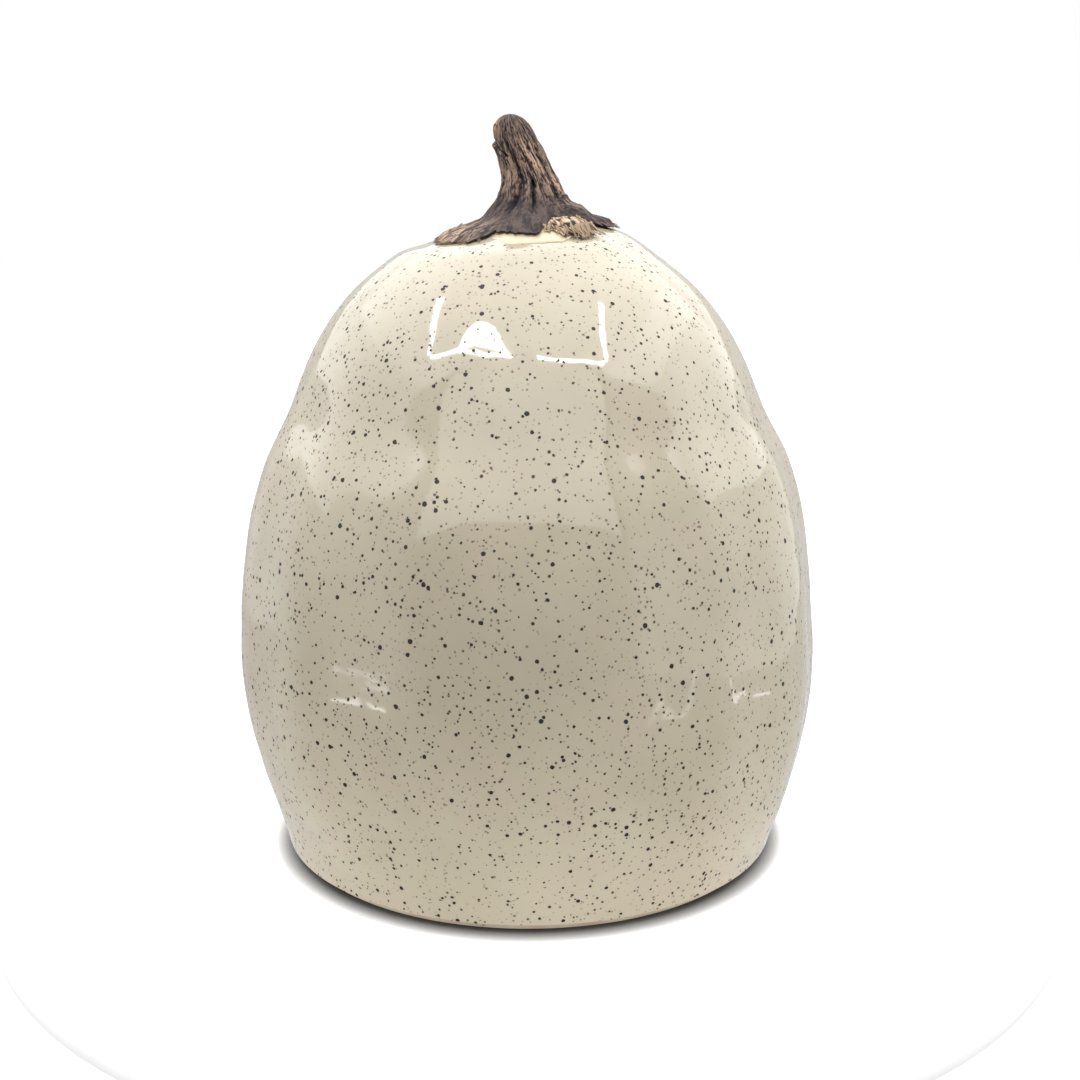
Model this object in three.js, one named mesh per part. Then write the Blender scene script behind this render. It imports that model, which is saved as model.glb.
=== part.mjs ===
// Ceramic pumpkin figure with a dried pumpkin stem. Millimetres, +Z up, front towards -Y.
// The origin is on the standing face, under the middle of the pot.
import * as THREE from 'three';

// pot
const contactRadius = 55.6;      // edge of the flat standing face
const bevelTop = 1.4;            // the bare bevel runs up to here
const rimHeight = 2.0;           // lower edge of the glaze
const wall = 6;
const floorThickness = 7;
const glazeThickness = 0.5;
const gap = 0.3;                 // between neighbouring pieces
const ventRadius = 2;            // breathing hole in the crown, under the stem
const around = 48;               // four steps per lobe
const rows = 19;                 // steps from foot to crown

// glazed face, radius and height, from the foot to the crown
const outline = [
  [57.4, 0.6], [60.6, 11.5], [63.9, 22.9], [66.2, 34.4], [67.1, 45.8], [66.6, 57.3], [65.6, 68.8],
  [63.8, 80.2], [60.3, 91.7], [54.6, 103.1], [49.7, 114.6], [44.6, 123.2], [38.3, 130.6], [30.9, 136.6],
  [24.4, 140.4], [12, 144.8], [0, 146.2],
];

// pressed grooves: direction in degrees from the front, + to the right
const grooves = [-139, -112, -86, -59, -32, -2, 26, 47, 75, 104, 133, 162, 192];
const grooveDepth = 1.1;
const grooveWidth = 6;
const lobeSwell = 0.35;

// stem: height, sideways place and radius of its sections above the flare
const shaft = [
  [150.6, 0.9, 8.0], [153.2, 0.6, 6.9], [156.2, -0.2, 6.0], [159.2, -1.3, 5.6], [161.4, -2.2, 5.5],
  [163.8, -3.1, 4.8], [166.0, -3.7, 3.8], [167.6, -4.0, 2.4],
];
const stemTip = [168.4, -4.0];
// reach of the flare in each direction, degrees from the front and millimetres
const flareReach = [
  [-180, 14.5], [-150, 20], [-118, 14], [-78, 20.5], [-55, 22], [-33, 20.5], [-16, 17], [0, 19.6], [10, 17],
  [24, 13], [48, 13.5], [68, 17.5], [90, 19.4], [115, 14], [145, 19], [180, 14.5],
];
// the same for the torn flesh and for the adhesive under the stem
const fleshReach = [
  [-180, 9], [-60, 9.5], [0, 11], [12, 18.2], [24, 21.8], [36, 22.4], [50, 19.5], [66, 14], [90, 10], [180, 9],
];
const adhesiveReach = [
  [-180, 12], [-60, 12.5], [-30, 17], [-8, 23], [18, 23], [32, 20.8], [60, 16.5], [90, 12], [180, 12],
];
const stemAround = 40;

const degrees = Math.PI / 180;

function smooth(from, to, value) {
  const t = THREE.MathUtils.clamp((value - from) / (to - from), 0, 1);
  return t * t * (3 - 2 * t);
}

// value of a list of [direction, value] pairs at one direction
function around360(list, direction) {
  const i = list.findIndex((entry) => entry[0] >= direction);
  if (i <= 0) return list[0][1];
  const [a, b] = [list[i - 1], list[i]];
  return THREE.MathUtils.lerp(a[1], b[1], smooth(a[0], b[0], direction));
}

// direction of a point, degrees from the front
function directionOf(x, y) {
  return Math.atan2(x, -y) / degrees;
}

// how far the pot's face stands out from its plain turned shape
function lobe(direction, height) {
  let dip = 0;
  for (const groove of grooves) {
    const off = Math.abs(((direction - groove + 540) % 360) - 180) / grooveWidth;
    dip = Math.max(dip, Math.exp(-off * off / 2));
  }
  const strength = smooth(4, 40, height) * (1 - smooth(112, 142, height));
  return strength * (lobeSwell - grooveDepth * dip);
}

// the crown leans a little: its right side is higher
function crownTilt(x, y, height) {
  return 0.057 * x * (1 - smooth(20, 30, Math.hypot(x, y))) * smooth(120, 136, height);
}

function crownHeight(x, y) {
  const r = Math.hypot(x, y);
  return 146.2 - 0.0098 * r * r + crownTilt(x, y, 146);
}

// the outline moved inwards by a depth, as points from foot to crown; the ends are cut by height and radius
const face = new THREE.SplineCurve(outline.map(([r, z]) => new THREE.Vector2(r, z)));

function inset(depth, steps, lowest, smallest) {
  const fine = [];
  for (let i = 0; i <= 400; i += 1) {
    const p = face.getPoint(i / 400);
    const t = face.getTangent(i / 400);
    fine.push(new THREE.Vector2(p.x - depth * t.y, p.y + depth * t.x));
  }
  const kept = fine.filter((p) => p.y > lowest && p.x > smallest);
  const path = new THREE.SplineCurve(kept);
  const points = path.getSpacedPoints(steps);
  points[0].y = lowest;
  points[steps].x = smallest;
  return points;
}

// turned solid of the pot, then the lobes, the lean and the tilt of the crown
function turned(profile) {
  const geometry = new THREE.LatheGeometry(profile, around).rotateX(Math.PI / 2);
  const position = geometry.attributes.position;
  for (let i = 0; i < position.count; i += 1) {
    let [x, y, z] = [position.getX(i), position.getY(i), position.getZ(i)];
    const r = Math.hypot(x, y);
    if (r > 1e-6) {
      const grown = 1 + lobe(directionOf(x, y), z) / r;
      [x, y] = [x * grown, y * grown];
    }
    z += crownTilt(x, y, z);
    position.setXYZ(i, x - 0.6 * smooth(4, 60, z), y, z);
  }
  return geometry;
}

const glazeOut = inset(0, rows, rimHeight, ventRadius);
const glazeIn = inset(glazeThickness, rows, rimHeight, ventRadius);
const clayOut = inset(glazeThickness + gap, rows, bevelTop, ventRadius);
const clayIn = inset(glazeThickness + gap + wall, 11, floorThickness, ventRadius);

const bodyGeometry = turned([
  new THREE.Vector2(0, 0), new THREE.Vector2(contactRadius, 0), ...clayOut,
  ...clayIn.reverse(), new THREE.Vector2(0, floorThickness),
]);
const glazeGeometry = turned([...glazeOut, ...glazeIn.reverse(), glazeOut[0].clone()]);

// a layer on the crown: lower and upper face given as heights above the glaze
function layer(reach, steps, below, above) {
  const profile = [new THREE.Vector2(0, 0)];
  for (let i = 1; i <= steps; i += 1) profile.push(new THREE.Vector2(i / steps, 0));
  for (let i = steps; i >= 1; i -= 1) profile.push(new THREE.Vector2(i / steps, 1));
  profile.push(new THREE.Vector2(0, 1));
  const geometry = new THREE.LatheGeometry(profile, stemAround).rotateX(Math.PI / 2);
  const position = geometry.attributes.position;
  for (let i = 0; i < position.count; i += 1) {
    const [u, v, top] = [position.getX(i), position.getY(i), position.getZ(i) > 0.5];
    const share = Math.hypot(u, v);
    const direction = share > 1e-6 ? directionOf(u, v) : 0;
    const r = share * around360(reach, direction);
    const x = r * Math.sin(direction * degrees);
    const y = -r * Math.cos(direction * degrees);
    const height = top ? above(r, direction, share) : below(r, direction, share);
    position.setXYZ(i, x, y, crownHeight(x, y) + height);
  }
  return geometry;
}

// adhesive lies on the glaze, the flesh on the adhesive, the stem on both
const adhesiveTop = (r, direction, share) => 0.75 - 0.3 * smooth(0.8, 1, share);
const fleshBottom = () => 0.75 + gap;
// where the flap has broken away the flesh stands higher
const fleshTop = (r, direction) => {
  const torn = 1 - smooth(9, 13, Math.abs(direction - 36));
  const edge = around360(flareReach, direction);
  return 1.6 + 1.2 * torn * smooth(edge + 1.6, edge + 3.2, r);
};
const stemBottom = (r, direction) => {
  const edge = around360(fleshReach, direction);
  return THREE.MathUtils.lerp(1.6, 0.75, smooth(edge + 2.2, edge + 4.4, r)) + gap + 0.05;
};

const adhesiveGeometry = layer(adhesiveReach, 4, () => gap + 0.05, adhesiveTop);
const fleshGeometry = layer(fleshReach, 8, fleshBottom, fleshTop);

// stem: underside, flare and shaft are one skin of rings around a bent centre line
function stem() {
  const underSteps = 9;
  const flareSteps = 6;
  const last = underSteps + flareSteps + shaft.length;
  const profile = [new THREE.Vector2(0, 0)];
  for (let i = 1; i <= last; i += 1) profile.push(new THREE.Vector2(1, i));
  profile.push(new THREE.Vector2(0, last + 1));
  const geometry = new THREE.LatheGeometry(profile, stemAround).rotateX(Math.PI / 2);
  const position = geometry.attributes.position;
  const [neckHeight, neckX, neckRadius] = shaft[0];
  for (let i = 0; i < position.count; i += 1) {
    const row = Math.round(position.getZ(i));
    const onAxis = Math.hypot(position.getX(i), position.getY(i)) < 1e-6;
    const direction = directionOf(position.getX(i), position.getY(i));
    const [side, front] = [Math.sin(direction * degrees), -Math.cos(direction * degrees)];
    const reach = around360(flareReach, direction);
    const rib = 1 + 0.06 * Math.cos(5 * (direction - 8) * degrees);
    let [x, y, z] = [0, 0, 0];
    if (onAxis && row === 0) {
      z = crownHeight(0, 0) + stemBottom(0, 0);
    } else if (onAxis) {
      [z, x] = stemTip;
    } else if (row <= underSteps) {
      const r = reach * row / underSteps;
      [x, y] = [r * side, r * front];
      z = crownHeight(x, y) + stemBottom(r, direction);
    } else if (row <= underSteps + flareSteps) {
      // upper face of the flap: thin at its edge, rising steeply into the neck
      const t = (row - underSteps - 1) / flareSteps;
      const r = neckRadius + (reach - neckRadius) * (1 - t) ** 1.7;
      [x, y] = [r * side + neckX * t, r * front];
      const rise = neckHeight - crownHeight(0, neckRadius) - stemBottom(0, 0) - 0.7;
      const skin = 0.7 + rise * Math.exp((neckRadius - r) / 0.9);
      z = crownHeight(x, y) + stemBottom(r, direction) + skin;
    } else {
      const [height, centre, radius] = shaft[row - underSteps - flareSteps - 1];
      [x, y, z] = [centre + radius * rib * side, radius * rib * front, height];
    }
    position.setXYZ(i, x, y, z);
  }
  return geometry;
}

const stemGeometry = stem();

const group = new THREE.Group();
group.name = 'ceramic_pumpkin_figure';

function add(name, geometry, color, roughness) {
  const material = new THREE.MeshStandardMaterial({ name, color, roughness, metalness: 0 });
  const mesh = new THREE.Mesh(geometry, material);
  mesh.name = name;
  group.add(mesh);
}

add('stoneware_body', bodyGeometry, 0xcbb49a, 0.85);
add('glaze_coat', glazeGeometry, 0xded6c4, 0.12);
add('stem_adhesive', adhesiveGeometry, 0xe8dcbc, 0.35);
add('stem_flesh', fleshGeometry, 0xc9a877, 0.9);
add('dried_stem', stemGeometry, 0x5b4034, 0.85);

export default group;
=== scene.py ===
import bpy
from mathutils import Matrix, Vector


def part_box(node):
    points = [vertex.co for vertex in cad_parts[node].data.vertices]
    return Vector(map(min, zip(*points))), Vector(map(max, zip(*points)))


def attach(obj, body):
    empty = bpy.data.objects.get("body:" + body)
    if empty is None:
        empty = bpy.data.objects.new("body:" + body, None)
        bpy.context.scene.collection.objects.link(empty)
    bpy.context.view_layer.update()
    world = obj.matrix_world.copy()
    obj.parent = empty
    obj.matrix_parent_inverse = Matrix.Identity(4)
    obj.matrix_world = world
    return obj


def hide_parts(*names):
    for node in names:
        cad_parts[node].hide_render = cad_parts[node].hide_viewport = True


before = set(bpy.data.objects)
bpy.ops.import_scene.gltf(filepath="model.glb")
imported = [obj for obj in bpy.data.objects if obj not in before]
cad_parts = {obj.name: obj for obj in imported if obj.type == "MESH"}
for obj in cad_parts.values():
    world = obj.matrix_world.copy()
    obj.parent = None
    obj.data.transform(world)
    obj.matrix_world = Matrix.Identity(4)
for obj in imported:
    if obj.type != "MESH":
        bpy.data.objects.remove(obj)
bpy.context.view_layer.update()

import math
import random

import bpy
import numpy as np
from mathutils import Vector, noise

random.seed(41)
wholeHeight = 168.4  # millimetres, foot to stem tip
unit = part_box("dried_stem")[1].z / wholeHeight  # one millimetre, so every length below follows the frame
print("frame loaded, one millimetre is", round(unit, 6))


def smooth(start, end, value):
    t = np.clip((value - start) / (end - start), 0.0, 1.0)
    return t * t * (3 - 2 * t)


def noiseAt(points, size, seed):
    # one value from -1 to 1 for each point; size is the width of a bump
    shift = Vector((seed * 13.7, seed * -7.9, seed * 3.3))
    return np.array([noise.noise(Vector(p) / size + shift) for p in points])


def alongRing(table, directions):
    # smooth value of [direction, value] pairs that go once round
    xs = np.array([row[0] for row in table], float)
    ys = np.array([row[1] for row in table], float)
    i = np.clip(np.searchsorted(xs, directions, side="right") - 1, 0, len(xs) - 2)
    return ys[i] + (ys[i + 1] - ys[i]) * smooth(xs[i], xs[i + 1], directions)


def wrapped(degrees):
    return (degrees + 180.0) % 360.0 - 180.0


def splineThrough(points, steps):
    # even run of points on the smooth curve through the given ones
    p = np.array(points, float)
    ends = [2 * p[0] - p[1]], [2 * p[-1] - p[-2]]
    q = np.vstack([ends[0], p, ends[1]])
    fine = []
    for i in range(len(p) - 1):
        a, b, c, d = q[i:i + 4]
        for t in np.linspace(0, 1, 40, endpoint=False):
            fine.append(b + 0.5 * t * (c - a) + t * t * (a - 2.5 * b + 2 * c - 0.5 * d) + t ** 3 * (
                1.5 * b - 1.5 * c + 0.5 * d - 0.5 * a))
    fine = np.array(fine + [p[-1]])
    run = np.concatenate([[0], np.cumsum(np.linalg.norm(np.diff(fine[:, :2], axis=0), axis=1))])
    at = np.linspace(0, run[-1], steps)
    return np.stack([np.interp(at, run, fine[:, k]) for k in range(p.shape[1])], axis=1)


def meshPiece(name, rings, closeRings=False, firstPoint=None, lastPoint=None, material=None, marks=None,
              tubes=()):
    # rings is rows of points round the piece; ends close on a point, or the last ring meets the first
    points, faces = [], []

    def skin(rows, wrapRows):
        rowCount, ringCount = rows.shape[:2]
        start = len(points)
        points.extend((rows.reshape(-1, 3) * unit).tolist())
        for i in range(rowCount if wrapRows else rowCount - 1):
            a = start + i * ringCount
            b = start + ((i + 1) % rowCount) * ringCount
            for j in range(ringCount):
                k = (j + 1) % ringCount
                faces.append((a + j, a + k, b + k, b + j))
        return start, rowCount, ringCount

    def cap(centre, ringStart, ringCount, flip):
        points.append([c * unit for c in centre])
        for j in range(ringCount):
            pair = (ringStart + j, ringStart + (j + 1) % ringCount)
            faces.append((*(pair[::-1] if flip else pair), len(points) - 1))

    start, rowCount, ringCount = skin(rings, closeRings)
    if firstPoint is not None:
        cap(firstPoint, start, ringCount, True)
    if lastPoint is not None:
        cap(lastPoint, start + (rowCount - 1) * ringCount, ringCount, False)
    bodyCount = len(points)
    for tube in tubes:
        tubeStart, tubeRows, tubeRing = skin(tube, False)
        cap(tube[0].mean(axis=0), tubeStart, tubeRing, True)
        cap(tube[-1].mean(axis=0), tubeStart + (tubeRows - 1) * tubeRing, tubeRing, False)
    mesh = bpy.data.meshes.new(name)
    mesh.from_pydata(points, [], faces)
    mesh.shade_smooth()
    for markName, (values, onTubes) in (marks or {}).items():
        layer = mesh.attributes.new(markName, "FLOAT", "POINT")
        full = np.full(len(points), onTubes, np.float32)
        full[:rowCount * ringCount] = np.asarray(values, np.float32).reshape(-1)
        full[rowCount * ringCount:bodyCount] = 0
        layer.data.foreach_set("value", full)
    piece = bpy.data.objects.new(name, mesh)
    bpy.context.scene.collection.objects.link(piece)
    if material:
        mesh.materials.append(material)
    return piece


def ringPoints(count):
    # directions from the front, + to the right, and their unit vectors
    directions = wrapped(np.arange(count) * 360.0 / count)
    turn = np.radians(directions)
    return directions, np.sin(turn), -np.cos(turn)


def newMaterial(name):
    material = bpy.data.materials.new(name)
    material.use_nodes = True
    material.node_tree.nodes.clear()
    return material, material.node_tree


def addNode(tree, kind, inputs=None, **settings):
    node = tree.nodes.new(kind)
    for key, value in settings.items():
        setattr(node, key, value)
    for key, value in (inputs or {}).items():
        if isinstance(value, bpy.types.NodeSocket):
            tree.links.new(value, node.inputs[key])
        else:
            node.inputs[key].default_value = value
    return node


def surface(tree, inputs, kind="ShaderNodeBsdfPrincipled"):
    shader = addNode(tree, kind, inputs)
    addNode(tree, "ShaderNodeOutputMaterial", {"Surface": shader.outputs[0]})


def bumpFrom(tree, height, strength, distance):
    return addNode(tree, "ShaderNodeBump", {
        "Height": height, "Strength": strength, "Distance": distance}).outputs[0]


def mathNode(tree, operation, a, b=0.0, c=0.0, clamp=False):
    node = addNode(tree, "ShaderNodeMath", {0: a, 1: b, 2: c}, operation=operation, use_clamp=clamp)
    return node.outputs[0]


def mixColor(tree, factor, a, b, blend="MIX"):
    node = addNode(tree, "ShaderNodeMix", {0: factor, 6: a, 7: b}, data_type="RGBA", blend_type=blend)
    return node.outputs[2]


def mapValue(tree, value, fromLow, fromHigh, toLow=0.0, toHigh=1.0, smoothStep=True):
    node = addNode(tree, "ShaderNodeMapRange", {
        "Value": value, "From Min": fromLow, "From Max": fromHigh, "To Min": toLow, "To Max": toHigh,
    }, interpolation_type="SMOOTHSTEP" if smoothStep else "LINEAR")
    return node.outputs["Result"]


def newGroup(name, inputs, outputs):
    tree = bpy.data.node_groups.new(name, "ShaderNodeTree")
    for label, kind, value in inputs:
        socket = tree.interface.new_socket(label, in_out="INPUT", socket_type=kind)
        if value is not None:
            socket.default_value = value
    for label, kind in outputs:
        tree.interface.new_socket(label, in_out="OUTPUT", socket_type=kind)
    return tree, tree.nodes.new("NodeGroupInput"), tree.nodes.new("NodeGroupOutput")


def useGroup(tree, group, inputs):
    return addNode(tree, "ShaderNodeGroup", inputs, node_tree=group)


def objectPlace(tree):
    # place on the piece in millimetres
    place = addNode(tree, "ShaderNodeTexCoord").outputs["Object"]
    return addNode(tree, "ShaderNodeVectorMath", {0: place, "Scale": 1 / unit}, operation="SCALE").outputs[0]


# specks scattered through the glaze or clay: each cell may hold one grain with a soft edge
specks, groupIn, groupOut = newGroup("ironSpecks", [
    ("Place", "NodeSocketVector", None), ("Spacing", "NodeSocketFloat", 2.0),
    ("Smallest", "NodeSocketFloat", 0.2), ("Largest", "NodeSocketFloat", 0.4),
    ("Share", "NodeSocketFloat", 0.5), ("Softness", "NodeSocketFloat", 0.3),
    ("Ragged", "NodeSocketFloat", 0.12), ("Clusters", "NodeSocketFloat", 0.0),
], [("Mask", "NodeSocketFloat"), ("Tint", "NodeSocketFloat")])
wobble = addNode(specks, "ShaderNodeTexNoise", {
    "Vector": groupIn.outputs["Place"], "Scale": 1.7, "Detail": 1.0})
wobble = addNode(specks, "ShaderNodeVectorMath", {
    0: wobble.outputs["Color"], 1: (0.5, 0.5, 0.5)}, operation="SUBTRACT")
wobble = addNode(specks, "ShaderNodeVectorMath", {
    0: wobble.outputs[0], "Scale": groupIn.outputs["Ragged"]}, operation="SCALE")
moved = addNode(specks, "ShaderNodeVectorMath", {0: groupIn.outputs["Place"], 1: wobble.outputs[0]})
cells = addNode(specks, "ShaderNodeTexVoronoi", {
    "Vector": moved.outputs[0], "Scale": mathNode(specks, "DIVIDE", 1.0, groupIn.outputs["Spacing"])})
chance = addNode(specks, "ShaderNodeSeparateColor", {0: cells.outputs["Color"]})
distance = mathNode(specks, "MULTIPLY", cells.outputs["Distance"], groupIn.outputs["Spacing"])
spread = mathNode(specks, "SUBTRACT", groupIn.outputs["Largest"], groupIn.outputs["Smallest"])
size = mathNode(specks, "MULTIPLY_ADD", mathNode(specks, "POWER", chance.outputs[0], 1.6), spread,
                groupIn.outputs["Smallest"])
clump = addNode(specks, "ShaderNodeTexNoise", {
    "Vector": groupIn.outputs["Place"], "Scale": 0.11, "Detail": 2.0})
clump = mapValue(specks, clump.outputs["Fac"], 0.38, 0.62, -1.0, 1.0)
share = mathNode(specks, "MULTIPLY_ADD", clump, groupIn.outputs["Clusters"], groupIn.outputs["Share"])
present = mathNode(specks, "LESS_THAN", chance.outputs[1], share)
softFrom = mathNode(specks, "MULTIPLY", size, mathNode(specks, "SUBTRACT", 1.0, groupIn.outputs["Softness"]))
softTo = mathNode(specks, "MULTIPLY", size, mathNode(specks, "ADD", 1.0, groupIn.outputs["Softness"]))
softEdge = mapValue(specks, distance, softFrom, softTo, 1.0, 0.0)
specks.links.new(mathNode(specks, "MULTIPLY", softEdge, present), groupOut.inputs["Mask"])
specks.links.new(chance.outputs[2], groupOut.inputs["Tint"])

# cloudy tone that varies slowly over a surface
clouds, groupIn, groupOut = newGroup("cloudyTone", [
    ("Place", "NodeSocketVector", None), ("Width", "NodeSocketFloat", 20.0),
    ("Detail", "NodeSocketFloat", 3.0), ("Contrast", "NodeSocketFloat", 0.2),
], [("Tone", "NodeSocketFloat")])
cloud = addNode(clouds, "ShaderNodeTexNoise", {
    "Vector": groupIn.outputs["Place"], "Scale": mathNode(clouds, "DIVIDE", 1.0, groupIn.outputs["Width"]),
    "Detail": groupIn.outputs["Detail"]})
low = mathNode(clouds, "SUBTRACT", 0.5, groupIn.outputs["Contrast"])
high = mathNode(clouds, "ADD", 0.5, groupIn.outputs["Contrast"])
cloud = addNode(clouds, "ShaderNodeMapRange", {
    "Value": cloud.outputs["Fac"], "From Min": low, "From Max": high}, interpolation_type="SMOOTHSTEP")
clouds.links.new(cloud.outputs["Result"], groupOut.inputs["Tone"])

# fine grain as a height for a bump
grain, groupIn, groupOut = newGroup("fineGrain", [
    ("Place", "NodeSocketVector", None), ("Width", "NodeSocketFloat", 0.5),
    ("Roughness", "NodeSocketFloat", 0.6),
], [("Height", "NodeSocketFloat")])
fine = addNode(grain, "ShaderNodeTexNoise", {
    "Vector": groupIn.outputs["Place"], "Scale": mathNode(grain, "DIVIDE", 1.0, groupIn.outputs["Width"]),
    "Detail": 5.0, "Roughness": groupIn.outputs["Roughness"]})
grain.links.new(fine.outputs["Fac"], groupOut.inputs["Height"])
print("shader groups built")

potShape = {
    # radius and height of the glazed face, from the foot to the crown
    "outline": [
        (57.4, 0.6), (60.6, 11.5), (63.9, 22.9), (66.2, 34.4), (67.1, 45.8), (66.6, 57.3), (65.6, 68.8),
        (63.8, 80.2), (60.3, 91.7), (54.6, 103.1), (49.7, 114.6), (44.6, 123.2), (38.3, 130.6), (30.9, 136.6),
        (24.4, 140.4), (12, 144.8), (0, 146.2)],
    # direction, depth and width of each pressed groove
    "grooves": [
        (-139, 1.1, 6), (-112, 1.0, 6), (-86, 1.1, 6), (-59, 1.1, 6), (-32, 1.1, 6), (-2, 1.0, 5),
        (26, 1.1, 6), (47, 1.0, 6), (75, 1.0, 5), (104, 1.1, 6), (133, 1.0, 6), (162, 1.1, 6), (192, 1.1, 6)],
    "swell": 0.35,
    # places the hand pushed in or out: direction, height, spread of both, millimetres outwards
    "touches": [(84, 20, 22, 14, 0.9), (-10.5, 126.5, 7, 3.4, 0.28), (10, 112, 9, 5, -0.1)],
    "wall": 6.0,
    "floor": 7.0,
    "glazeThickness": 0.5,
    "glazeEdge": 2.35,
    "bead": 0.16,
    "footRecess": 0.25,
    "ventRadius": 2.0,
    "columns": 384,
    "rows": 205,
}


def crownTilt(x, y, z):
    return 0.057 * x * (1 - smooth(20, 30, np.hypot(x, y))) * smooth(120, 136, z)


def crownHeight(x, y):
    return 146.2 - 0.0098 * (x * x + y * y) + crownTilt(x, y, 146.0)


def lobeAt(directions, z):
    dip = np.zeros(np.broadcast(directions, z).shape)
    for where, depth, width in potShape["grooves"]:
        off = wrapped(directions - where) / width
        dip = np.maximum(dip, depth * np.exp(-off * off / 2))
    strength = smooth(4, 40, z) * (1 - smooth(88, 131, z))
    return strength * (potShape["swell"] - dip)


def potProfile(steps, depth, lowest, smallest):
    # the outline moved in by a depth, cut off at a height and at a radius
    curve = splineThrough(potShape["outline"], 900)
    tangent = np.gradient(curve, axis=0)
    tangent /= np.linalg.norm(tangent, axis=1)[:, None]
    curve = curve + depth * np.stack([-tangent[:, 1], tangent[:, 0]], axis=1)
    keep = (curve[:, 1] >= lowest) & (curve[:, 0] >= smallest)
    curve = curve[keep]
    curve[0, 1] = lowest
    curve[-1, 0] = smallest
    run = np.concatenate([[0], np.cumsum(np.linalg.norm(np.diff(curve, axis=0), axis=1))])
    at = np.linspace(0, run[-1], steps)
    return np.stack([np.interp(at, run, curve[:, 0]), np.interp(at, run, curve[:, 1])], axis=1)


def turnProfile(profile, columns, handmade=0.0):
    # rings of the pot from a profile, with its lobes, lean and the tilt of the crown
    directions, side, front = ringPoints(columns)
    r = profile[:, 0][:, None]
    z = np.repeat(profile[:, 1][:, None], columns, axis=1)
    r = r + lobeAt(directions[None, :], z) * (r > 0.1)
    if handmade:
        x, y = r * side, r * front
        flat = np.stack([x, y, z], axis=-1).reshape(-1, 3)
        swell = noiseAt(flat, 34.0, 1) * 0.42 + noiseAt(flat, 13.0, 2) * 0.07
        rings = noiseAt(np.stack([flat[:, 0] / 9, flat[:, 1] / 9, flat[:, 2]], axis=1), 7.0, 3) * 0.09
        worn = (swell + rings).reshape(z.shape) * (1 - 0.6 * smooth(100, 118, z))
        for where, level, spread, levelSpread, out in potShape["touches"]:
            off = wrapped(directions[None, :] - where) / spread
            worn = worn + out * np.exp(-off * off / 2 - ((z - level) / levelSpread) ** 2 / 2)
        r = r + handmade * worn * smooth(1, 12, z) * (1 - smooth(132, 142, z))
    x, y = r * side, r * front
    z = z + crownTilt(x, y, z)
    return np.stack([x - 0.6 * smooth(4, 60, z), y, z], axis=-1)


# glaze: outer face, a rolled lower edge, and a plainer inner face against the clay
thick = potShape["glazeThickness"]
outer = potProfile(potShape["rows"], 0.0, potShape["glazeEdge"], potShape["ventRadius"])
inner = potProfile(40, thick, potShape["glazeEdge"], potShape["ventRadius"])[::-1]
# the glaze gathers above its edge
outer[:, 0] += potShape["bead"] * np.exp(-((outer[:, 1] - 2.9) / 0.9) ** 2)
middle = (outer[0] + inner[-1]) / 2
half = np.linalg.norm(outer[0] - inner[-1]) / 2
roll = [(middle[0] - half * math.cos(a), middle[1] - 1.25 * half * math.sin(a))
        for a in np.radians([25, 50, 75, 100, 125, 150, 170])]
glazeRings = turnProfile(np.vstack([roll, outer, inner]), potShape["columns"], 1.0)

# clay: hollow, standing on a flat face with a bare bevel, and a breathing hole in the crown
clayOuter = potProfile(60, thick + 0.04, 3.0, potShape["ventRadius"])
clayInner = potProfile(40, thick + 0.3 + potShape["wall"], potShape["floor"], potShape["ventRadius"])[::-1]
foot = [(r, potShape["footRecess"]) for r in (6, 14, 22, 30, 38, 44, 48)]
foot += [(49.5, 0.1), (50.5, 0.02), (52, 0), (54, 0), (55.1, 0), (55.6, 0.12), (56.0, 0.5), (56.35, 0.95)]
foot += [(56.65, 1.35), (56.9, 1.65), (57.15, 2.1), (57.3, 2.5)]
floorInside = [(30, potShape["floor"]), (12, potShape["floor"])]
clayProfile = np.vstack([foot, clayOuter, clayInner, floorInside])
clayRings = turnProfile(clayProfile, 256, 1.0)
print("pot profiles made")

# glaze finish
glazeLook = {
    "cream": (0.53, 0.475, 0.36, 1),
    "oatmeal": (0.485, 0.434, 0.325, 1),
    "pinkish": (0.515, 0.44, 0.342, 1),
    "darkSpeck": (0.014, 0.009, 0.007, 1),
    "brownSpeck": (0.055, 0.03, 0.02, 1),
    "redSpeck": (0.20, 0.105, 0.075, 1),
    "roughness": 0.055,
    "speckRoughness": 0.85,
    # layers of specks: spacing, smallest, largest, share, softness, clusters, strength, colour
    "specks": [
        (1.15, 0.15, 0.25, 0.75, 0.40, 0.35, 0.55, "redSpeck"),
        (1.4, 0.20, 0.32, 0.65, 0.35, 0.30, 0.90, "redSpeck"),
        (1.7, 0.24, 0.38, 0.74, 0.20, 0.30, 1.0, "brownSpeck"),
        (2.9, 0.38, 0.55, 0.62, 0.10, 0.20, 1.0, "darkSpeck")],
}
glazeMaterial, tree = newMaterial("speckledGlaze")
place = objectPlace(tree)
tone = useGroup(tree, clouds, {"Place": place, "Width": 26.0, "Contrast": 0.16}).outputs[0]
blush = useGroup(tree, clouds, {
    "Place": addNode(tree, "ShaderNodeVectorMath", {0: place, 1: (71.0, 13.0, 5.0)}).outputs[0],
    "Width": 17.0, "Contrast": 0.1}).outputs[0]
color = mixColor(tree, tone, glazeLook["oatmeal"], glazeLook["cream"])
blush = mathNode(tree, "MULTIPLY", mapValue(tree, blush, 0.55, 1.0), 0.4)
color = mixColor(tree, blush, color, glazeLook["pinkish"])
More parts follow.
